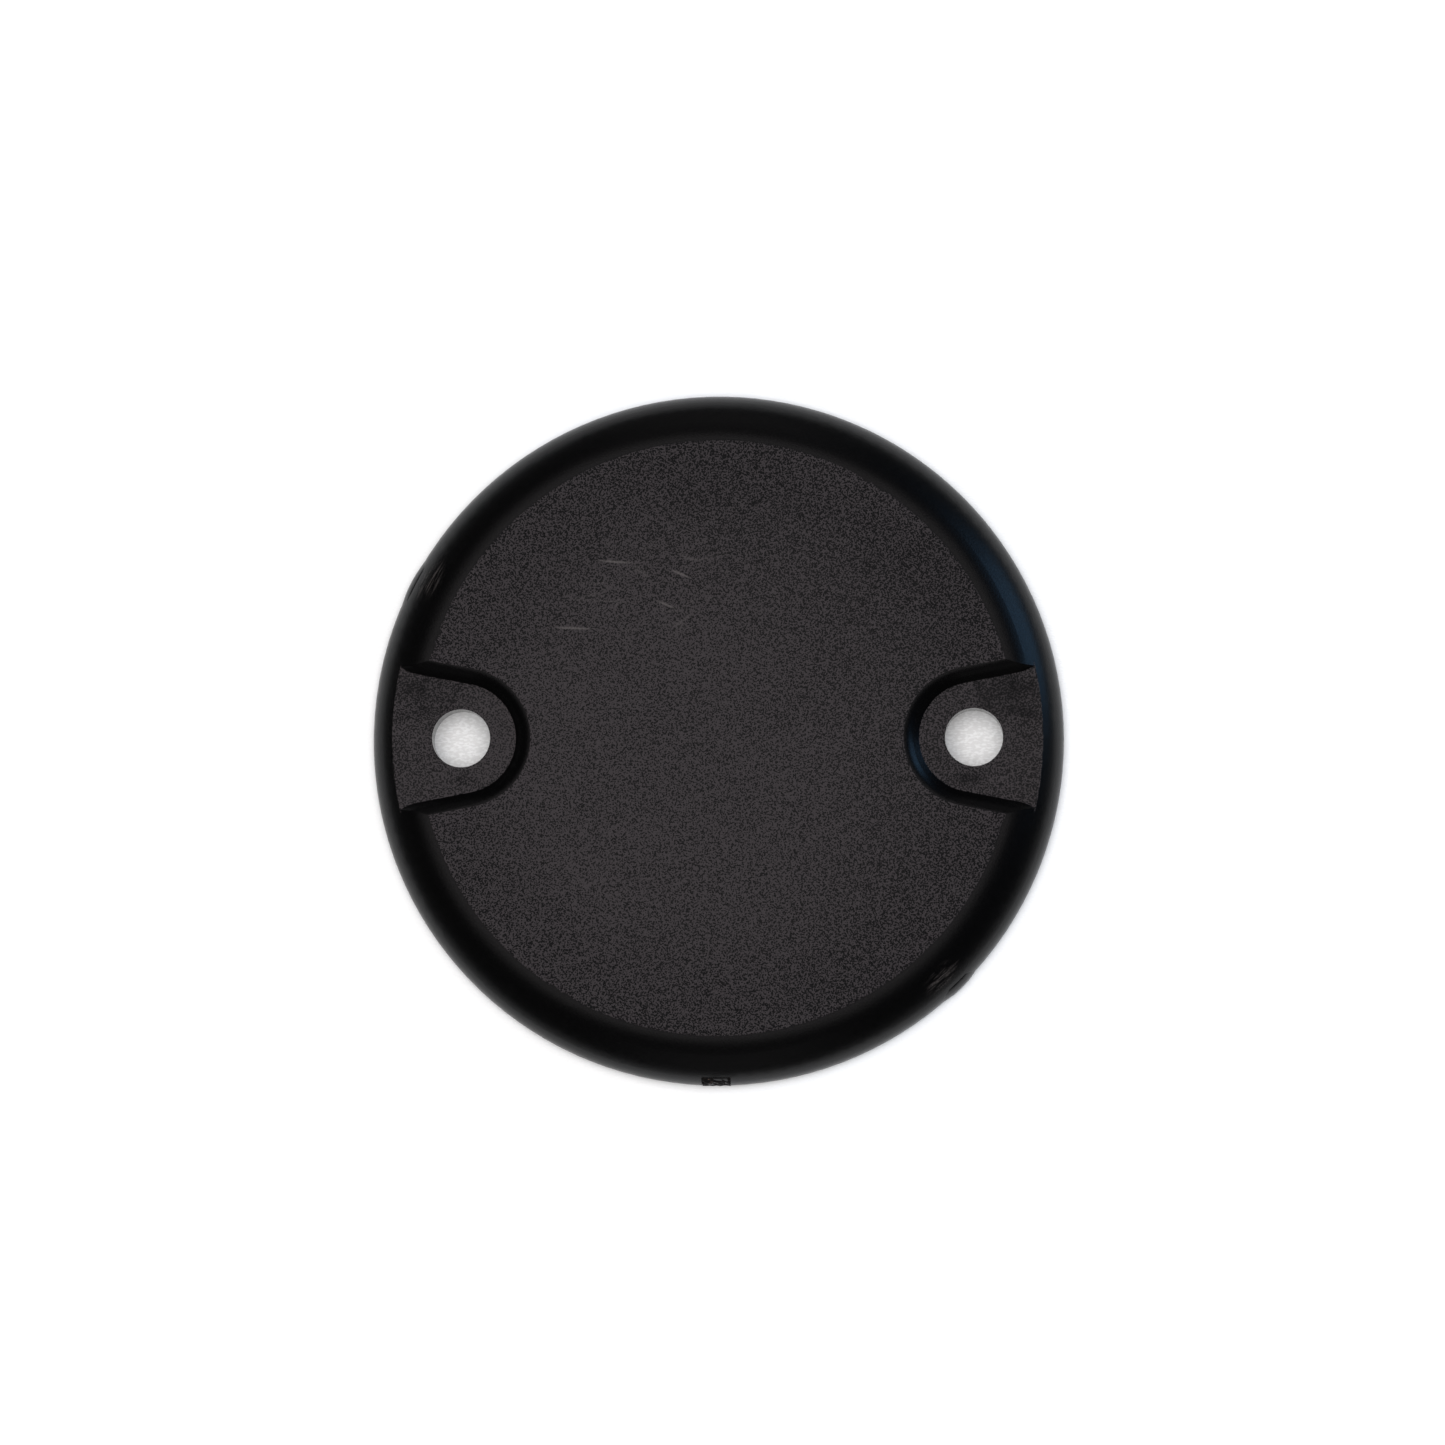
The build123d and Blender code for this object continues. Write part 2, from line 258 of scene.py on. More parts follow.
def bothHoles(tree, coords, place):
    # the left half folded over on to the right one, so one mark shows at both screw holes
    parts = addNode(tree, "ShaderNodeSeparateXYZ", -7, 5)
    folded = addNode(tree, "ShaderNodeCombineXYZ", -6, 5)
    tree.links.new(coords, parts.inputs[0])
    tree.links.new(place["side"], folded.inputs["X"])
    tree.links.new(parts.outputs["Y"], folded.inputs["Y"])
    tree.links.new(parts.outputs["Z"], folded.inputs["Z"])
    return folded.outputs[0]


def spotAt(tree, column, row, coords, x, y, z, reach, angle=0.0):
    turn = (0, 0, math.radians(angle))
    spot = useGroup(tree, column, row, softSpot, vector=coords, place=(x, y, z), turn=turn, reach=reach)
    return spot["mask"]


def largest(tree, column, row, masks):
    most = masks[0]
    for mask in masks[1:]:
        most = calc(tree, column, row, "MAXIMUM", most, mask)
    return most


def startFinish(name, look, **sockets):
    # what most pieces share: a drifting colour, a drifting roughness and a fine relief
    material, tree, surface, coords = startMaterial(name, **sockets)
    drift = useGroup(tree, -5, 0, toneDrift, vector=coords, size=look["drift"])["value"]
    grain = useGroup(tree, -5, 2, mouldGrain, vector=coords, size=look["grain"], depth=look["grainDepth"])
    color = mixColors(tree, -3, 0, drift, look["dark"], look["light"])
    rough = calc(tree, -3, 2, "MULTIPLY_ADD", grain["pits"], look["roughSpread"], look["rough"])
    return {
        "material": material, "tree": tree, "surface": surface, "coords": coords,
        "color": color, "rough": rough, "height": grain["height"]}


def finishOff(work):
    work["tree"].links.new(work["color"], work["surface"]["Base Color"])
    work["tree"].links.new(work["rough"], work["surface"]["Roughness"])
    addBump(work["tree"], work["height"], work["surface"])
    return work["material"]


def speckle(work, size, share, color, rise=0.0):
    # specks of another colour, standing out or sunk by their own height
    tree = work["tree"]
    mask = useGroup(tree, -5, 6, specks, vector=work["coords"], size=size, share=share)["mask"]
    work["color"] = mixColors(tree, -1, 0, mask, work["color"], color)
    work["height"] = calc(tree, 0, 4, "MULTIPLY_ADD", mask, rise, work["height"])


def scratch(work, spread, cover, strength, color):
    tree = work["tree"]
    lines = useGroup(
        tree, -5, 8, hairlines, vector=work["coords"], spread=spread, width=0.012, cover=cover)["mask"]
    shown = calc(tree, -2, 8, "MULTIPLY", lines, strength)
    work["color"] = mixColors(tree, 0, 0, shown, work["color"], color)
    work["rough"] = calc(tree, 0, 2, "MULTIPLY_ADD", lines, 0.1, work["rough"])


def paint(piece, material):
    piece.data.materials.clear()
    piece.data.materials.append(material)


# the shell's black moulded plastic

shellLook = {
    "body": (0.0009, 0.0008, 0.0009),
    "specular": 0.28,
    "pale": (0.0300, 0.0250, 0.0265),
    "scuffed": (0.100, 0.088, 0.085),
    "grain": 0.12 * mm,
    "grainDepth": 0.017 * mm,
    "grainOnRim": 0.3,  # share of the grain's depth that the smooth rim shows
    "grainTone": 0.95,
    "grainRough": 0.06,
    "toneRange": (0.33, 0.9),  # the tones that give the body colour and the pale one
    "drift": {"size": 6 * mm, "low": -0.13, "high": -0.05},
    # painted highlight: how much paler the face is painted round its spot
    "paintedHighlightTone": 0.24,
    "smudgeAndShadeTone": -0.3,
    "smudgeAndShadeRough": 0.1,
    "markTone": 0.45,
    "markRough": -0.08,
    "pocketHalf": (5.6 * mm, 5.3 * mm),  # the pocket floors end between these distances from the middle line
    "faceRough": 0.42,
    "faceEdgeRough": 0.53,  # the face dulls towards its edge
    "rimRough": 0.28,
    "boreRough": 0.12,
    "dullFrom": 12.0 * mm,
    "dullTo": 21.8 * mm,
    # painted highlight: the face and pocket floors are painted paler round this place, this far
    "paintedHighlightPlace": (-6.0 * mm, -3.0 * mm),
    "paintedHighlightReach": (24.0 * mm, 24.0 * mm, 40.0 * mm),
    "scuffPlace": (-4.5 * mm, 10.3 * mm),
    "scuffReach": (11.0 * mm, 4.6 * mm, 1.0 * mm),
    "handled": {"spread": 2.8 * mm, "width": 0.016, "cover": 0.72},
    "handledStretch": (2.6, 1, 1),
    "handledShare": 0.7,
    # middle of each scratch, half its length, and its turn, in mm and degrees
    "scratches": (
        (-2.6, 11.8, 1.0, -24), (-7.4, 12.7, 1.7, -4), (-3.7, 9.6, 1.0, -24), (-10.4, 7.9, 1.9, -2)),
    "scratchWidth": 0.13 * mm,
    # smudges on the pocket floors, the last one a painted shade over the upper part of the floor, from the
    # middle of the hole: place, reach and turn, in mm and degrees
    "smudgesAndShade": (
        (0.7, 2.9, 2.0, 0.9, 118), (3.3, 1.9, 2.4, 0.8, -12),
        (-0.4, -3.0, 1.8, 0.7, 8), (2.6, 3.4, 3.0, 1.8, 0)),
    "smudgeAndShadeCloud": {"size": 1.4 * mm, "low": 0.45, "high": 1.0},
    "markDepth": 0.5 * mm,  # scratches, smudges and the painted floor shade show this far above and below the surface they lie on
    "rimScuffs": ((151.0, 23.5 * mm), (313.0, 23.4 * mm)),  # azimuth and radius
    "rimScuffHeight": 1.8 * mm,
    "rimScuffReach": (1.1 * mm, 2.3 * mm, 1.4 * mm),
}


def rimScuffs(tree, coords, place):
    # fine streaks that run along the edge, where flash was trimmed
    streakCoords = addNode(tree, "ShaderNodeCombineXYZ", -6, 8)
    tree.links.new(calc(tree, -7, 8, "MULTIPLY", place["radius"], 9.0), streakCoords.inputs["X"])
    tree.links.new(place["height"], streakCoords.inputs["Y"])
    tree.links.new(place["side"], streakCoords.inputs["Z"])
    streaks = ramp(tree, -4, 8, noiseAt(tree, -5, 8, streakCoords.outputs[0], 1 / (0.9 * mm)), 0.5, 0.64)
    spots = []
    for row, (azimuth, radius) in enumerate(shellLook["rimScuffs"]):
        middle = towards(azimuth, 0) * radius
        spots.append(spotAt(
            tree, -5, 9 + row, coords, middle.x, middle.y, shellLook["rimScuffHeight"],
            shellLook["rimScuffReach"], azimuth))
    return calc(tree, -3, 8, "MULTIPLY", streaks, largest(tree, -4, 9, spots))


def faceScuffs(tree, coords):
    # faint hairlines over the upper left of the face, and four clear scratches among them
    look = shellLook
    stretched = addNode(tree, "ShaderNodeMapping", -6, 7, vector_type="TEXTURE")
    stretched.inputs["Scale"].default_value = look["handledStretch"]
    tree.links.new(coords, stretched.inputs["Vector"])
    handled = useGroup(tree, -5, 6, hairlines, vector=stretched.outputs[0], **look["handled"])["mask"]
    region = spotAt(tree, -5, 7, coords, *look["scuffPlace"], faceZ, look["scuffReach"])
    shown = calc(tree, -4, 7, "MULTIPLY", handled, look["handledShare"])
    lines = [calc(tree, -4, 6, "MULTIPLY", shown, region)]
    for row, (x, y, half, angle) in enumerate(look["scratches"]):
        lines.append(spotAt(
            tree, -5, 12 + row, coords, x * mm, y * mm, faceZ,
            (half * mm, look["scratchWidth"], look["markDepth"]), angle))
    return largest(tree, -3, 6, lines)


def floorSmudgesAndShade(tree, folded):
    # dark smudges on the pocket floors, and one broad spot, the last entry, that is painted shade over the
    # upper part of each floor
    spots = []
    for row, (x, y, long, short, angle) in enumerate(shellLook["smudgesAndShade"]):
        spots.append(spotAt(
            tree, -5, 17 + row, folded, holePlace + x * mm, y * mm, pocketFloorZ,
            (long * mm, short * mm, shellLook["markDepth"]), angle))
    cloud = useGroup(tree, -5, 22, toneDrift, vector=folded, **shellLook["smudgeAndShadeCloud"])["value"]
    return calc(tree, -3, 17, "MULTIPLY", largest(tree, -4, 17, spots), cloud)


def boreMask(tree, folded):
    offAxis = addNode(tree, "ShaderNodeVectorMath", -5, 24, operation="SUBTRACT")
    tree.links.new(folded, offAxis.inputs[0])
    offAxis.inputs[1].default_value = (holePlace, 0, 0)
    fromAxis = useGroup(tree, -4, 24, discPlace, vector=offAxis.outputs[0])["radius"]
    return ramp(tree, -3, 24, fromAxis, holeRadius + 0.03 * mm, holeRadius + 0.01 * mm)


def mouldedShell():
    look = shellLook
    material, tree, surface, coords = startMaterial("shellPlastic")
    surface["Specular IOR Level"].default_value = look["specular"]
    place = useGroup(tree, -7, 2, discPlace, vector=coords)
    folded = bothHoles(tree, coords, place)
    onFace = ramp(tree, -6, 3, place["height"], faceZ - 0.03 * mm, faceZ - 0.005 * mm)
    offFloor = calc(tree, -6, 4, "ABSOLUTE", calc(tree, -7, 4, "SUBTRACT", place["height"], pocketFloorZ))
    inPocket = ramp(tree, -6, 6, place["across"], *look["pocketHalf"])
    onFloor = calc(tree, -4, 4, "MULTIPLY", ramp(tree, -5, 4, offFloor, 0.03 * mm, 0.01 * mm), inPocket)
    textured = calc(tree, -4, 3, "MAXIMUM", onFace, onFloor)

    grain = useGroup(tree, -5, 1, mouldGrain, vector=coords, size=look["grain"], depth=look["grainDepth"])
    grainShare = ramp(tree, -3, 3, textured, 0.0, 1.0, look["grainOnRim"], 1.0)
    drift = useGroup(tree, -5, 0, toneDrift, vector=coords, **look["drift"])["value"]
    # painted highlight: the face and pocket floors are painted paler round a broad spot left of and below the
    # middle
    paintedHighlight = spotAt(tree, -5, -1, coords, *look["paintedHighlightPlace"], faceZ, look["paintedHighlightReach"])
    paintedHighlightFace = calc(tree, -4, -1, "MULTIPLY", paintedHighlight, textured)
    tone = calc(tree, -4, 0, "MULTIPLY_ADD", paintedHighlightFace, look["paintedHighlightTone"], drift)
    # smudges darken the pocket floors; the broad last one is painted shade over the upper part of each floor
    smudgeAndShade = floorSmudgesAndShade(tree, folded)
    tone = calc(tree, -3, 0, "MULTIPLY_ADD", smudgeAndShade, look["smudgeAndShadeTone"], tone)
    pitTone = calc(tree, -4, 1, "MULTIPLY", textured, look["grainTone"])
    toneGrain = calc(tree, -3, 1, "MULTIPLY_ADD", grain["pits"], pitTone, tone)
    paleness = ramp(tree, -2, 1, toneGrain, *look["toneRange"])
    color = mixColors(tree, -2, 0, paleness, look["body"], look["pale"])

    marks = calc(tree, -2, 6, "MAXIMUM", faceScuffs(tree, coords), rimScuffs(tree, coords, place))
    shown = calc(tree, -1, 6, "MULTIPLY", marks, look["markTone"])
    color = mixColors(tree, 0, 0, shown, color, look["scuffed"])

    outward = ramp(tree, -5, 3, place["radius"], look["dullFrom"], look["dullTo"])
    dullness = calc(tree, -4, 2, "MULTIPLY", onFace, outward)
    dulled = ramp(tree, -3, 2, dullness, 0.0, 1.0, look["faceRough"], look["faceEdgeRough"])
    faceRough = calc(tree, -2, 2, "MULTIPLY_ADD", smudgeAndShade, look["smudgeAndShadeRough"], dulled)
    finish = addNode(tree, "ShaderNodeMix", -1, 2)
    plug(tree, textured, finish.inputs[0])
    plug(tree, look["rimRough"], finish.inputs[2])
    plug(tree, faceRough, finish.inputs[3])
    polish = addNode(tree, "ShaderNodeMix", 0, 3)
    plug(tree, boreMask(tree, folded), polish.inputs[0])
    grainRough = calc(tree, 0, 2, "MULTIPLY_ADD", grain["pits"], look["grainRough"], finish.outputs[0])
    plug(tree, grainRough, polish.inputs[2])
    plug(tree, look["boreRough"], polish.inputs[3])

    rough = calc(tree, 1, 2, "MULTIPLY_ADD", marks, look["markRough"], polish.outputs[0])
    tree.links.new(color, surface["Base Color"])
    tree.links.new(rough, surface["Roughness"])
    addBump(tree, calc(tree, 0, 4, "MULTIPLY", grain["height"], grainShare), surface)
    return material


shellPlastic = mouldedShell()
paint(cadNodes["front_cover"], shellPlastic)
print("shell painted")

# low swellings on the rim, where the two halves of the mould met and the flash was trimmed

flashLook = {
    # azimuth, length, and rise over the rim
    "spots": ((152.7, 4.4 * mm, 0.13 * mm), (314.3, 3.6 * mm, 0.15 * mm)),
    "thickness": 0.2 * mm,
    "sunk": 0.03 * mm,
    "low": 0.05 * mm,
    "high": 1.45 * mm,
    "rows": 6,
    "steps": 24,
    "ragged": 0.006 * mm,
    "edge": 0.01 * mm,
}
rimLook = {"foot": 0.4 * mm, "across": 6.63 * mm, "up": 3.32 * mm}  # straight foot, then the rim's ellipse


def rimInset(height):
    turn = math.asin(max(height - rimLook["foot"], 0) / rimLook["up"])
    return rimLook["across"] * (1 - math.cos(turn))


def selectWhere(piece, test):
    # edit mode only takes over what object mode has selected
    bpy.ops.object.mode_set(mode="OBJECT")
    for group in (piece.data.polygons, piece.data.edges):
        for element in group:
            element.select = False
    for vertex in piece.data.vertices:
        vertex.select = test(vertex.co)
    bpy.ops.object.mode_set(mode="EDIT")


def followRim(piece, inward):
    # each row of vertices is drawn in by what the rim draws in at its height
    bpy.ops.object.mode_set(mode="OBJECT")
    for level in sorted({round(vertex.co.z, 6) for vertex in piece.data.vertices}):
        selectWhere(piece, lambda co: abs(co.z - level) < 0.01 * mm)
        bpy.ops.transform.translate(value=inward * rimInset(level))
    bpy.ops.mesh.select_all(action="SELECT")


def partingFlash(number, azimuth, length, rise):
    look = flashLook
    tall = look["high"] - look["low"]
    bpy.ops.object.select_all(action="DESELECT")
    bpy.ops.mesh.primitive_plane_add(size=1, location=(0, 0, 0), rotation=(math.pi / 2, 0, 0))
    piece = bpy.context.object
    piece.name = f"parting_flash_{number}"
    bpy.ops.object.transform_apply(location=False, rotation=True, scale=False)
    bpy.ops.object.mode_set(mode="EDIT")
    bpy.ops.mesh.select_all(action="SELECT")
    bpy.ops.transform.resize(value=(look["thickness"], 1, tall), center_override=(0, 0, 0))
    middle = discRadius - look["sunk"] - look["thickness"] / 2
    bpy.ops.transform.translate(value=(middle, 0, (look["low"] + look["high"]) / 2))
    bpy.ops.mesh.subdivide(number_cuts=look["rows"])
    followRim(piece, Vector((-1, 0, 0)))
    bpy.ops.mesh.spin(
        steps=look["steps"], angle=length / discRadius, center=(0, 0, 0), axis=(0, 0, 1),
        use_auto_merge=False)
    bpy.ops.mesh.select_all(action="SELECT")
    bpy.ops.mesh.normals_make_consistent(inside=False)
    bpy.ops.object.mode_set(mode="OBJECT")
    # turned so that its middle comes to the wanted place
    corners = [math.atan2(vertex.co.y, vertex.co.x) for vertex in piece.data.vertices]
    piece.rotation_euler.z = math.radians(azimuth) - (min(corners) + max(corners)) / 2
    bpy.ops.object.transform_apply(location=False, rotation=True, scale=False)
    crest = towards(azimuth, 0) * discRadius
    near = length / look["steps"]
    outside = discRadius - near / 2
    selectWhere(piece, lambda co: (co - crest).length < near + rimLook["foot"] and co.xy.length > outside)
    bpy.ops.transform.translate(
        value=towards(azimuth, 0) * rise, use_proportional_edit=True, proportional_edit_falloff="SMOOTH",
        proportional_size=length * 0.45)
    bpy.ops.mesh.select_all(action="SELECT")
    bpy.ops.transform.vertex_random(offset=look["ragged"], seed=number)
    bpy.ops.object.mode_set(mode="OBJECT")
    bevel = piece.modifiers.new("edge", "BEVEL")
    bevel.width = look["edge"]
    bevel.limit_method = "ANGLE"
    bpy.ops.object.modifier_apply(modifier=bevel.name)
    bpy.ops.object.shade_smooth_by_angle(angle=math.radians(50))
    paint(piece, shellPlastic)
    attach(piece, "root")


for flashNumber, flashSpot in enumerate(flashLook["spots"], 1):
    partingFlash(flashNumber, *flashSpot)
print("parting flash built")

# the torn end of the gate, over the broken stub in its notch

gateLook = {
    "low": (-1.13 * mm, -discRadius, 0.08 * mm),
    "high": (0.87 * mm, -discRadius + 0.5 * mm, 1.7 * mm),
    "cuts": 7,
    "ragged": 0.045 * mm,
    "drift": 0.3 * mm,
    "dark": (0.0006, 0.0004, 0.0004),
    "light": (0.0050, 0.0032, 0.0028),
    "torn": (0.075, 0.050, 0.040),
    "specular": 0.05,
    "grain": 0.15 * mm,
    "grainDepth": 0.02 * mm,
    "rough": 0.5,
    "roughSpread": 0.2,
}


def gateVestige():
    low, high = Vector(gateLook["low"]), Vector(gateLook["high"])
    bpy.ops.object.select_all(action="DESELECT")
    bpy.ops.mesh.primitive_cube_add(size=1, location=(0, 0, 0))
    piece = bpy.context.object
    piece.name = "gate_vestige"
    bpy.ops.object.mode_set(mode="EDIT")
    bpy.ops.mesh.select_all(action="SELECT")
    bpy.ops.transform.resize(value=high - low, center_override=(0, 0, 0))
    bpy.ops.transform.translate(value=(low + high) / 2)
    bpy.ops.mesh.subdivide(number_cuts=gateLook["cuts"])
    followRim(piece, Vector((0, 1, 0)))
    bpy.ops.transform.vertex_random(offset=gateLook["ragged"], seed=5)
    bpy.ops.mesh.normals_make_consistent(inside=False)
    bpy.ops.object.mode_set(mode="OBJECT")
    work = startFinish("tornPlastic", gateLook)
    work["surface"]["Specular IOR Level"].default_value = gateLook["specular"]
    speckle(work, 0.22 * mm, 0.42, gateLook["torn"], 0.01 * mm)
    paint(piece, finishOff(work))
    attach(piece, "root")


gateVestige()
print("gate vestige built")

# the back cover: the same plastic from a smoother mould, with flow marks round its own gate

backLook = {
    "drift": 5 * mm,
    "dark": (0.006, 0.0056, 0.0058),
    "light": (0.013, 0.012, 0.0122),
    "scuffed": (0.05, 0.046, 0.045),
    "grain": 0.11 * mm,
    "grainDepth": 0.005 * mm,
    "rough": 0.36,
    "roughSpread": 0.08,
    "flowPitch": 2.4 * mm,
    "flowDepth": 0.004 * mm,
}


def backPlastic():
    work = startFinish("backPlastic", backLook)
    tree = work["tree"]
    fromGate = useGroup(tree, -7, 4, discPlace, vector=work["coords"])["radius"]
    wander = noiseAt(tree, -6, 4, work["coords"], 1 / (7 * mm), detail=1.0)
    bent = calc(tree, -5, 4, "MULTIPLY_ADD", wander, 5 * mm, fromGate)
    wave = calc(tree, -3, 4, "SINE", calc(tree, -4, 4, "MULTIPLY", bent, 2 * math.pi / backLook["flowPitch"]))
    fade = ramp(tree, -3, 5, fromGate, 16 * mm, 2 * mm)
    flow = calc(tree, -2, 4, "MULTIPLY", wave, fade)
    work["rough"] = calc(tree, -1, 2, "MULTIPLY_ADD", flow, 0.03, work["rough"])
    work["height"] = calc(tree, -1, 4, "MULTIPLY_ADD", flow, backLook["flowDepth"], work["height"])
    scratch(work, 4.5 * mm, 0.68, 0.45, backLook["scuffed"])
    return finishOff(work)


paint(cadNodes["back_cover"], backPlastic())

# the glue in the seam: amber, with fine bubbles

seamLook = {
    "drift": 2.5 * mm,
    "dark": (0.2, 0.15, 0.06),
    "light": (0.36, 0.31, 0.19),
    "bubble": (0.46, 0.42, 0.31),
    "grain": 0.3 * mm,
    "grainDepth": 0.006 * mm,
    "rough": 0.14,
    "roughSpread": 0.12,
}


def seamGlue():
    work = startFinish("seamGlue", seamLook)
    work["surface"]["Subsurface Weight"].default_value = 0.2
    work["surface"]["Subsurface Radius"].default_value = (0.4 * mm, 0.3 * mm, 0.15 * mm)
    speckle(work, 0.35 * mm, 0.22, seamLook["bubble"], -0.015 * mm)
    return finishOff(work)


paint(cadNodes["seam_adhesive"], seamGlue())

# the two adhesive films: cream, slightly rippled where they were rolled on

filmLook = {
    "drift": 4 * mm,
    "dark": (0.66, 0.61, 0.48),
    "light": (0.8, 0.77, 0.66),
    "bubble": (0.88, 0.86, 0.8),
    "grain": 0.6 * mm,
    "grainDepth": 0.008 * mm,
    "rough": 0.3,
    "roughSpread": 0.15,
    "ripple": 1.7 * mm,
}


def adhesiveFilm():
    work = startFinish("adhesiveFilm", filmLook)
    tree = work["tree"]
    parts = addNode(tree, "ShaderNodeSeparateXYZ", -6, 4)
    tree.links.new(work["coords"], parts.inputs[0])
    wander = noiseAt(tree, -6, 5, work["coords"], 1 / (6 * mm), detail=1.0)
    bent = calc(tree, -5, 4, "MULTIPLY_ADD", wander, 3 * mm, parts.outputs["Y"])
    wave = calc(tree, -3, 4, "SINE", calc(tree, -4, 4, "MULTIPLY", bent, 2 * math.pi / filmLook["ripple"]))
    work["height"] = calc(tree, -1, 4, "MULTIPLY_ADD", wave, 0.006 * mm, work["height"])
    speckle(work, 1.3 * mm, 0.12, filmLook["bubble"], 0.01 * mm)
    return finishOff(work)


film = adhesiveFilm()
paint(cadNodes["ferrite_adhesive"], film)
paint(cadNodes["board_adhesive"], film)

# the ferrite sheet: dark grey and broken into small plates, so that it lies flat

ferriteLook = {
    "drift": 3 * mm,
    "dark": (0.06, 0.06, 0.064),
    "light": (0.11, 0.11, 0.115),
    "crack": (0.012, 0.012, 0.013),
    "grain": 0.12 * mm,
    "grainDepth": 0.006 * mm,
    "rough": 0.42,
    "roughSpread": 0.14,
    "plate": 2.2 * mm,
}


def ferrite():
    work = startFinish("ferrite", ferriteLook)
    tree = work["tree"]
    toEdge = cellsAt(tree, -5, 5, work["coords"], 1 / ferriteLook["plate"], feature="DISTANCE_TO_EDGE")
    cracks = ramp(tree, -3, 5, toEdge, 0.035, 0.0)
    work["color"] = mixColors(tree, -2, 0, cracks, work["color"], ferriteLook["crack"])
    work["height"] = calc(tree, -1, 4, "MULTIPLY_ADD", cracks, -0.02 * mm, work["height"])
    return finishOff(work)


paint(cadNodes["ferrite_sheet"], ferrite())
print("back cover, glues and ferrite painted")

# the circuit board: green lacquer, with the glass cloth showing through

boardLook = {
    "drift": 6 * mm,
    "dark": (0.03, 0.13, 0.045),
    "light": (0.06, 0.2, 0.07),
    "knot": (0.14, 0.3, 0.12),
    "grain": 0.5 * mm,
    "grainDepth": 0.002 * mm,
    "rough": 0.26,
    "roughSpread": 0.06,
    "weave": 0.45 * mm,
}


def boardLaminate():
    work = startFinish("boardLaminate", boardLook)
    tree = work["tree"]
    parts = addNode(tree, "ShaderNodeSeparateXYZ", -7, 4)
    tree.links.new(work["coords"], parts.inputs[0])
    threads = []
    for row, axis in enumerate(("X", "Y")):
        angle = calc(tree, -6, 4 + row, "MULTIPLY", parts.outputs[axis], math.pi / boardLook["weave"])
        threads.append(calc(tree, -5, 4 + row, "SINE", angle))
    crossing = calc(tree, -4, 4, "MULTIPLY", *threads)
    knots = ramp(tree, -3, 4, crossing, 0.35, 0.95)
    shown = calc(tree, -2, 4, "MULTIPLY", knots, 0.4)
    work["color"] = mixColors(tree, -2, 0, shown, work["color"], boardLook["knot"])
    work["height"] = calc(tree, -1, 4, "MULTIPLY_ADD", crossing, 0.003 * mm, work["height"])
    return finishOff(work)


paint(cadNodes["circuit_board"], boardLaminate())

# the copper on and in the board, with a little brown oxide

copperLook = {
    "drift": 1.6 * mm,
    "dark": (0.52, 0.21, 0.11),
    "light": (0.84, 0.43, 0.27),
    "oxide": (0.22, 0.09, 0.06),
    "grain": 0.07 * mm,
    "grainDepth": 0.002 * mm,
    "rough": 0.26,
    "roughSpread": 0.16,
}


def etchedCopper():
    work = startFinish("etchedCopper", copperLook, Metallic=1.0)
    tree = work["tree"]
    cloud = noiseAt(tree, -5, 5, work["coords"], 1 / (0.8 * mm), detail=4.0, distortion=0.6)
    oxide = ramp(tree, -3, 5, cloud, 0.56, 0.76)
    shown = calc(tree, -2, 5, "MULTIPLY", oxide, 0.6)
    work["color"] = mixColors(tree, -2, 0, shown, work["color"], copperLook["oxide"])
    work["rough"] = calc(tree, -1, 2, "MULTIPLY_ADD", oxide, 0.2, work["rough"])
    return finishOff(work)


copper = etchedCopper()
for copperNode in ("front_coil", "back_coil", "return_track", "board_vias"):
    paint(cadNodes[copperNode], copper)

# the plated pad under the chip

padLook = {
    "drift": 0.5 * mm,
    "dark": (0.74, 0.52, 0.18),
    "light": (0.9, 0.7, 0.33),
    "pit": (0.5, 0.33, 0.12),
    "grain": 0.04 * mm,
    "grainDepth": 0.001 * mm,
    "rough": 0.2,
    "roughSpread": 0.14,
}


def goldPlate():
    work = startFinish("goldPlate", padLook, Metallic=1.0)
    speckle(work, 0.09 * mm, 0.16, padLook["pit"], -0.002 * mm)
    return finishOff(work)


paint(cadNodes["die_pad"], goldPlate())

# the glue under the chip, filled with metal flakes

dieGlueLook = {
    "drift": 0.4 * mm,
    "dark": (0.34, 0.34, 0.34),
    "light": (0.52, 0.52, 0.51),
    "flake": (0.82, 0.82, 0.8),
    "grain": 0.03 * mm,
    "grainDepth": 0.002 * mm,
    "rough": 0.36,
    "roughSpread": 0.2,
}


def dieGlue():
    work = startFinish("dieGlue", dieGlueLook, Metallic=0.5)
    speckle(work, 0.04 * mm, 0.45, dieGlueLook["flake"], 0.001 * mm)
    return finishOff(work)


paint(cadNodes["die_adhesive"], dieGlue())

# the chip: blue-grey silicon, with the blocks of its circuit faintly tinted

chipLook = {
    "drift": 0.5 * mm,
    "dark": (0.09, 0.1, 0.14),
    "light": (0.2, 0.21, 0.26),
    "block": (0.3, 0.26, 0.34),
    "grain": 0.03 * mm,
    "grainDepth": 0.0004 * mm,
    "rough": 0.1,
    "roughSpread": 0.06,
    "blockSize": 0.22 * mm,
}


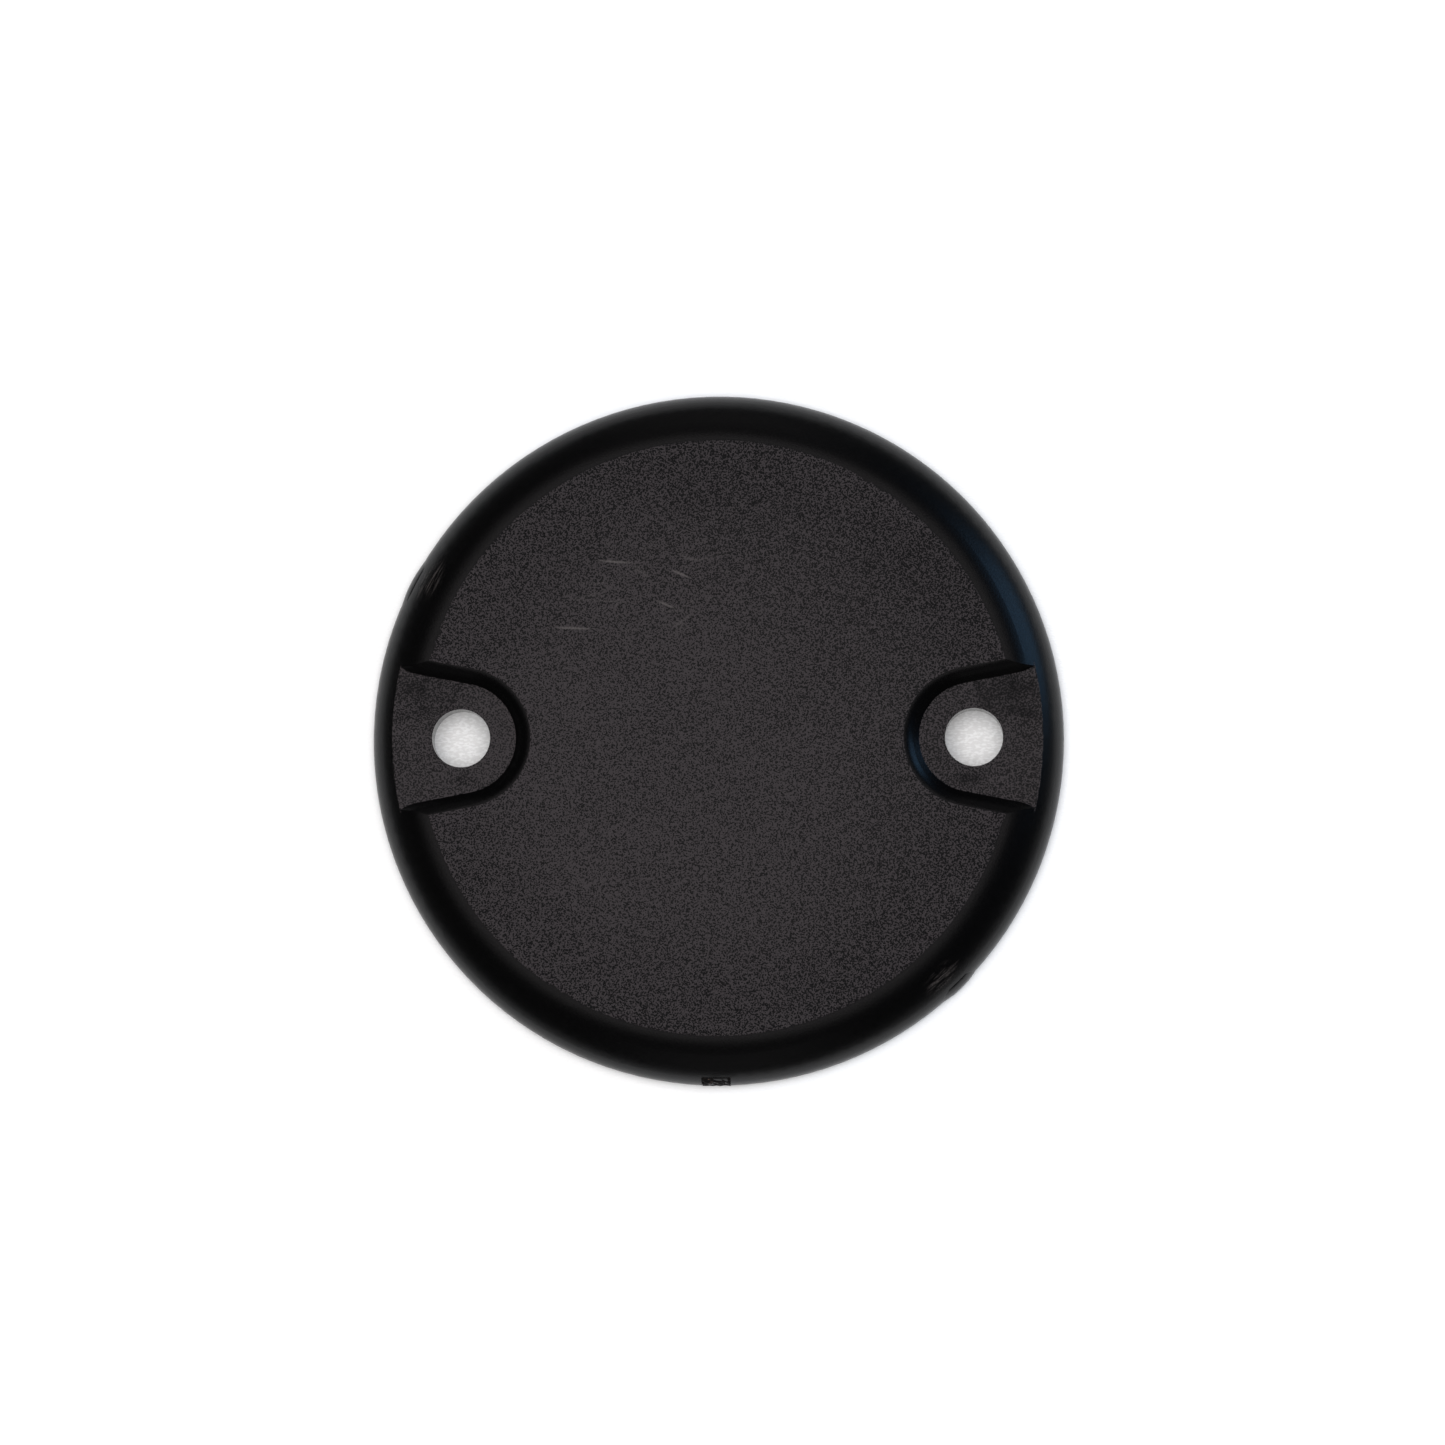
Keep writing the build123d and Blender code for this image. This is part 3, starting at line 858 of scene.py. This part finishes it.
def silicon():
    work = startFinish("silicon", chipLook, Metallic=0.6)
    tree = work["tree"]
    blocks = addNode(tree, "ShaderNodeTexVoronoi", -5, 5, distance="CHEBYCHEV")
    blocks.inputs["Scale"].default_value = 1 / chipLook["blockSize"]
    blocks.inputs["Randomness"].default_value = 0.7
    tree.links.new(work["coords"], blocks.inputs["Vector"])
    shade = addNode(tree, "ShaderNodeRGBToBW", -4, 5)
    tree.links.new(blocks.outputs["Color"], shade.inputs[0])
    tint = calc(tree, -3, 5, "MULTIPLY", shade.outputs[0], 0.7)
    work["color"] = mixColors(tree, -2, 0, tint, work["color"], chipLook["block"])
    work["rough"] = calc(tree, -1, 2, "MULTIPLY_ADD", tint, 0.1, work["rough"])
    return finishOff(work)


paint(cadNodes["tag_chip"], silicon())

# the bond wires: soft gold, with faint rings from the drawing die

wireLook = {
    "drift": 0.3 * mm,
    "dark": (0.78, 0.54, 0.16),
    "light": (0.92, 0.72, 0.3),
    "grain": 0.02 * mm,
    "grainDepth": 0.0005 * mm,
    "rough": 0.14,
    "roughSpread": 0.1,
    "ringPitch": 0.05 * mm,
}


def goldWire():
    work = startFinish("goldWire", wireLook, Metallic=1.0)
    tree = work["tree"]
    parts = addNode(tree, "ShaderNodeSeparateXYZ", -6, 4)
    tree.links.new(work["coords"], parts.inputs[0])
    angle = calc(tree, -5, 4, "MULTIPLY", parts.outputs["X"], 2 * math.pi / wireLook["ringPitch"])
    rings = calc(tree, -3, 4, "SINE", angle)
    work["rough"] = calc(tree, -1, 2, "MULTIPLY_ADD", rings, 0.03, work["rough"])
    return finishOff(work)


paint(cadNodes["bond_wires"], goldWire())
print("board, copper and chip painted")

# the resin drop over the chip: black, smooth, with a few filler grains

globLook = {
    "drift": 1.2 * mm,
    "dark": (0.010, 0.010, 0.012),
    "light": (0.024, 0.024, 0.026),
    "filler": (0.06, 0.06, 0.062),
    "grain": 0.25 * mm,
    "grainDepth": 0.004 * mm,
    "rough": 0.2,
    "roughSpread": 0.12,
}


def globResin():
    work = startFinish("globResin", globLook)
    speckle(work, 0.14 * mm, 0.12, globLook["filler"], 0.002 * mm)
    return finishOff(work)


paint(cadNodes["glob_top"], globResin())

# the tuning capacitor: tan ceramic with darker grains, and tinned ends with a crystal pattern

ceramicLook = {
    "drift": 0.4 * mm,
    "dark": (0.34, 0.21, 0.12),
    "light": (0.52, 0.36, 0.22),
    "fleck": (0.2, 0.12, 0.07),
    "grain": 0.05 * mm,
    "grainDepth": 0.003 * mm,
    "rough": 0.42,
    "roughSpread": 0.16,
}
tinLook = {
    "drift": 0.25 * mm,
    "dark": (0.6, 0.6, 0.59),
    "light": (0.8, 0.8, 0.79),
    "grain": 0.04 * mm,
    "grainDepth": 0.002 * mm,
    "rough": 0.26,
    "roughSpread": 0.14,
    "crystal": 0.11 * mm,
}


def capacitorCeramic():
    work = startFinish("capacitorCeramic", ceramicLook)
    speckle(work, 0.06 * mm, 0.2, ceramicLook["fleck"], -0.001 * mm)
    return finishOff(work)


def tinnedEnd():
    work = startFinish("tinnedEnd", tinLook, Metallic=1.0)
    tree = work["tree"]
    crystals = cellsAt(tree, -5, 5, work["coords"], 1 / tinLook["crystal"], output="Color")
    shade = addNode(tree, "ShaderNodeRGBToBW", -4, 5)
    tree.links.new(crystals, shade.inputs[0])
    work["rough"] = calc(tree, -1, 2, "MULTIPLY_ADD", shade.outputs[0], 0.2, work["rough"])
    return finishOff(work)


paint(cadNodes["tuning_capacitor"], capacitorCeramic())
paint(cadNodes["capacitor_terminals"], tinnedEnd())

# the solder at the capacitor's ends

solderLook = {
    "drift": 0.2 * mm,
    "dark": (0.5, 0.51, 0.52),
    "light": (0.74, 0.75, 0.76),
    "flux": (0.5, 0.38, 0.2),
    "grain": 0.08 * mm,
    "grainDepth": 0.004 * mm,
    "rough": 0.12,
    "roughSpread": 0.16,
}


def solderMetal():
    work = startFinish("solderMetal", solderLook, Metallic=1.0)
    speckle(work, 0.12 * mm, 0.14, solderLook["flux"], 0.002 * mm)
    return finishOff(work)


paint(cadNodes["solder_joints"], solderMetal())

# the resin that fills the shell: dark brown, with bubbles left from pouring

pottingLook = {
    "drift": 4 * mm,
    "dark": (0.022, 0.020, 0.018),
    "light": (0.05, 0.046, 0.042),
    "bubble": (0.10, 0.095, 0.09),
    "grain": 0.8 * mm,
    "grainDepth": 0.01 * mm,
    "rough": 0.16,
    "roughSpread": 0.14,
}


def pottingResin():
    work = startFinish("pottingResin", pottingLook)
    speckle(work, 0.7 * mm, 0.16, pottingLook["bubble"], -0.03 * mm)
    return finishOff(work)


paint(cadNodes["potting_resin"], pottingResin())
print("glob, capacitor and potting painted")

# the paper that the disc lies on: its own fine fibres, and painted shade round the screw holes, where the
# fibres are mixed darker

floorLook = {
    "size": 6.0,
    "color": (0.9, 0.9, 0.9),
    "shade": (0.6, 0.59, 0.58),
    "fibre": 0.15 * mm,
    "fibreDepth": 0.02 * mm,
    "fibreStretch": (2.2, 1, 1),
    "tone": 0.02,
    "holeShadeTone": 0.42,
    "holeShadeReach": (4.5 * mm, 4.5 * mm, 4.5 * mm),
}


def paperFloor():
    bpy.ops.object.select_all(action="DESELECT")
    bpy.ops.mesh.primitive_plane_add(size=floorLook["size"], location=(0, 0, cadLow.z))
    floor = bpy.context.object
    floor.name = "floor"
    material, tree, surface, coords = startMaterial("paper", Roughness=0.9)
    surface["Specular IOR Level"].default_value = 0.1
    stretched = addNode(tree, "ShaderNodeMapping", -7, 1, vector_type="TEXTURE")
    stretched.inputs["Scale"].default_value = floorLook["fibreStretch"]
    tree.links.new(coords, stretched.inputs["Vector"])
    fibre = useGroup(
        tree, -5, 1, mouldGrain, vector=stretched.outputs[0], size=floorLook["fibre"],
        depth=floorLook["fibreDepth"])
    # painted shade: round each screw hole the fibres mix more strongly towards the shade colour, so the paper
    # there is darker and more mottled
    holeShade = [
        spotAt(tree, -5, 4 + row, coords, side * holePlace, 0, 0, floorLook["holeShadeReach"])
        for row, side in enumerate((-1, 1))]
    anyHoleShade = largest(tree, -4, 4, holeShade)
    share = calc(tree, -3, 1, "MULTIPLY_ADD", anyHoleShade, floorLook["holeShadeTone"], floorLook["tone"])
    shaded = calc(tree, -2, 0, "MULTIPLY", fibre["pits"], share)
    color = mixColors(tree, -1, 0, shaded, floorLook["color"], floorLook["shade"])
    tree.links.new(color, surface["Base Color"])
    addBump(tree, fibre["height"], surface)
    paint(floor, material)


paperFloor()

# lights: the panel over the disc is in two parts, one for its reflection and one for its matt light

panelLook = {"azimuth": 125, "elevation": 85, "distance": 0.4, "size": 0.38, "turn": 45}
panelParts = {
    "panelGloss": {"radiance": 0.8, "inGloss": True, "color": (1, 0.955, 0.97)},
    "panelLight": {"radiance": 3.05, "inGloss": False, "color": (1, 1, 1)},
}
windowLook = {"azimuth": 24, "elevation": 27, "distance": 1.2, "size": 0.55, "turn": 0}
windowPart = {"radiance": 2.3, "color": (0.3, 0.6, 1)}

wallLook = {"elevation": 33, "distance": 1.2, "size": 0.6, "turn": 0}
wallPart = {"radiance": 0.2, "color": (1, 0.97, 0.98)}
wallAzimuths = {"wallUpper": 90, "wallLower": 270}  # dim walls that the rim picks up


def addPanel(name, look, radiance, color, inGloss=True):
    data = bpy.data.lights.new(name, "AREA")
    data.shape = "SQUARE"
    data.size = look["size"]
    data.energy = radiance * math.pi * look["size"] ** 2
    data.color = color
    light = bpy.data.objects.new(name, data)
    bpy.context.scene.collection.objects.link(light)
    way = towards(look["azimuth"], look["elevation"])
    light.location = way * look["distance"]
    light.rotation_mode = "QUATERNION"
    turned = Quaternion((0, 0, 1), math.radians(look["turn"]))
    light.rotation_quaternion = way.to_track_quat("Z", "Y") @ turned
    light.visible_camera = False
    light.visible_glossy = inGloss


for panelName, part in panelParts.items():
    addPanel(panelName, panelLook, **part)
addPanel("skyWindow", windowLook, **windowPart)
for panelName, wallAzimuth in wallAzimuths.items():
    addPanel(panelName, {**wallLook, "azimuth": wallAzimuth}, **wallPart)

worldLook = {"gloss": 0.011, "diffuse": 0.5, "camera": 0.9}


def studioWorld():
    world = bpy.data.worlds.new("studio")
    bpy.context.scene.world = world
    world.use_nodes = True
    tree = world.node_tree
    background = tree.nodes["Background"]
    path = addNode(tree, "ShaderNodeLightPath", -4, 0)
    mixGloss = addNode(tree, "ShaderNodeMix", -2, 0)
    mixGloss.inputs["A"].default_value = worldLook["diffuse"]
    mixGloss.inputs["B"].default_value = worldLook["gloss"]
    mixCamera = addNode(tree, "ShaderNodeMix", -1, 0)
    mixCamera.inputs["B"].default_value = worldLook["camera"]
    tree.links.new(path.outputs["Is Glossy Ray"], mixGloss.inputs["Factor"])
    tree.links.new(mixGloss.outputs["Result"], mixCamera.inputs["A"])
    tree.links.new(path.outputs["Is Camera Ray"], mixCamera.inputs["Factor"])
    tree.links.new(mixCamera.outputs["Result"], background.inputs["Color"])


studioWorld()

cameraLook = {
    "azimuth": -65,
    "elevation": 85.2,
    "distance": 0.5,
    "frameWidth": 104.61 * mm,
    "aim": (0.31 * mm, 1.25 * mm, 0.5 * mm),
    "sensor": 36.0,
}


def studioCamera():
    data = bpy.data.cameras.new("camera")
    camera = bpy.data.objects.new("camera", data)
    bpy.context.scene.collection.objects.link(camera)
    back = towards(cameraLook["azimuth"], cameraLook["elevation"])
    right = Vector((0, 1, 0)).cross(back).normalized()
    up = back.cross(right)
    camera.rotation_mode = "QUATERNION"
    camera.rotation_quaternion = Matrix((right, up, back)).transposed().to_quaternion()
    camera.location = Vector(cameraLook["aim"]) + back * cameraLook["distance"]
    data.sensor_width = cameraLook["sensor"]
    data.lens = cameraLook["sensor"] * cameraLook["distance"] / cameraLook["frameWidth"]
    data.clip_start = 0.01
    bpy.context.scene.camera = camera


studioCamera()
bpy.context.scene.view_settings.view_transform = "Standard"
print("studio set")
